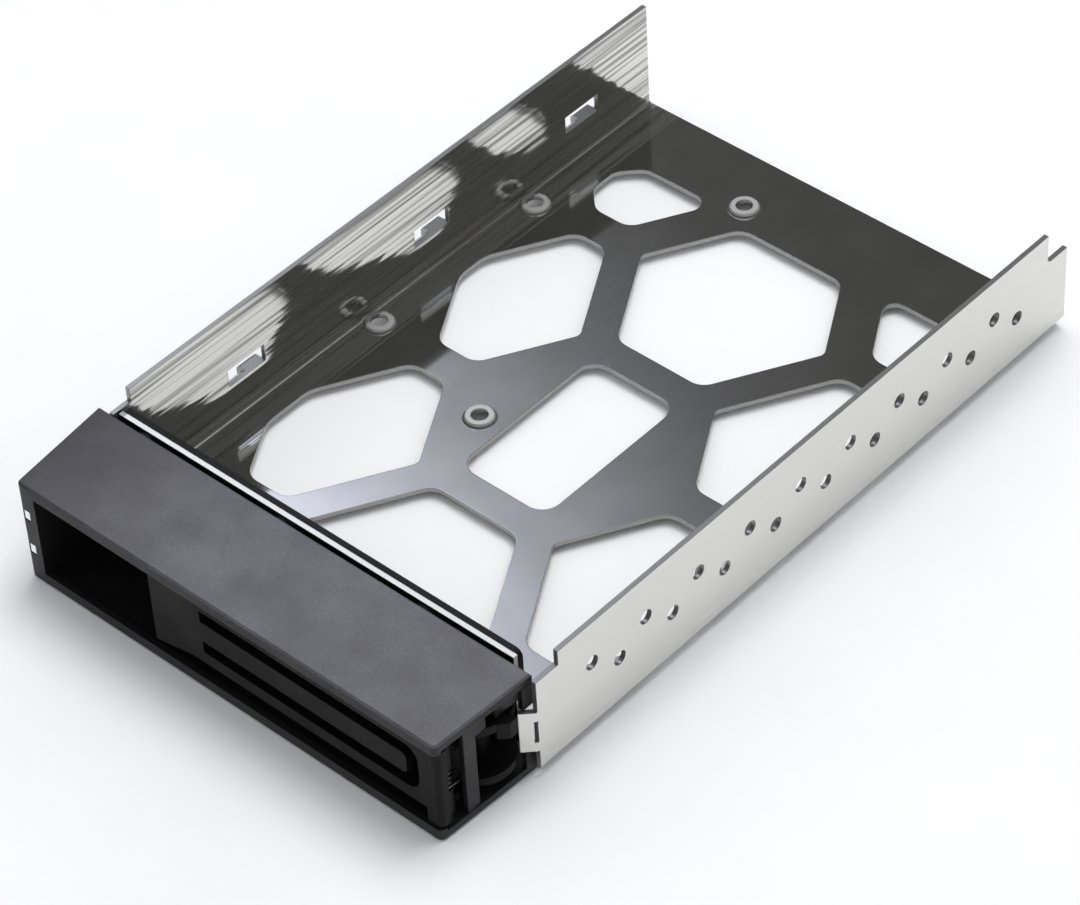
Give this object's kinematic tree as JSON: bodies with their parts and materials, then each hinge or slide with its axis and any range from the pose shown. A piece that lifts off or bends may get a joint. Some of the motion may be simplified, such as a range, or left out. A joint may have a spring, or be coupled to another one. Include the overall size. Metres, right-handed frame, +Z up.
{
  "type": "hot swap drive caddy",
  "caption": "Folded steel drive tray with a hexagon-cut floor and a black moulded front whose hinged lever locks it in a server bay.",
  "frame": {"origin": "centre of the bottom of the overall box, under the foot of the moulded front", "axes": "+X to the right seen from the front, +Y from the front to the connector end, +Z up"},
  "size_m": [0.1064, 0.17, 0.0262],
  "materials": {
    "tray_steel": "bright cold-rolled sheet with a mirror-like zinc coat",
    "bezel_plastic": "fine spark-eroded texture",
    "lever_plastic": "fine spark-eroded texture",
    "pin_steel": "ground",
    "spring_steel": "drawn wire",
    "strip_plastic": "moulded, dull",
    "screw_steel": "black zinc",
    "clear_plastic": "clear, polished"
  },
  "bodies": {
    "tray": {"tray_frame": "tray_steel", "bezel_shell": "bezel_plastic", "clamp_strip": "strip_plastic", "clamp_screws": "screw_steel", "upper_light_guide": "clear_plastic", "lower_light_guide": "clear_plastic", "hinge_pin": "pin_steel"},
    "lever": {"lever": "lever_plastic", "lever_spring": "spring_steel"}
  },
  "joints": [
    {"name": "lever_hinge", "type": "hinge", "parent": "tray", "child": "lever", "pos_m": [0.0472, -0.0812, 0.01185], "axis": [0, 0, 1], "range_deg": [0, 70], "deforming": ["lever_spring"]}
  ]
}
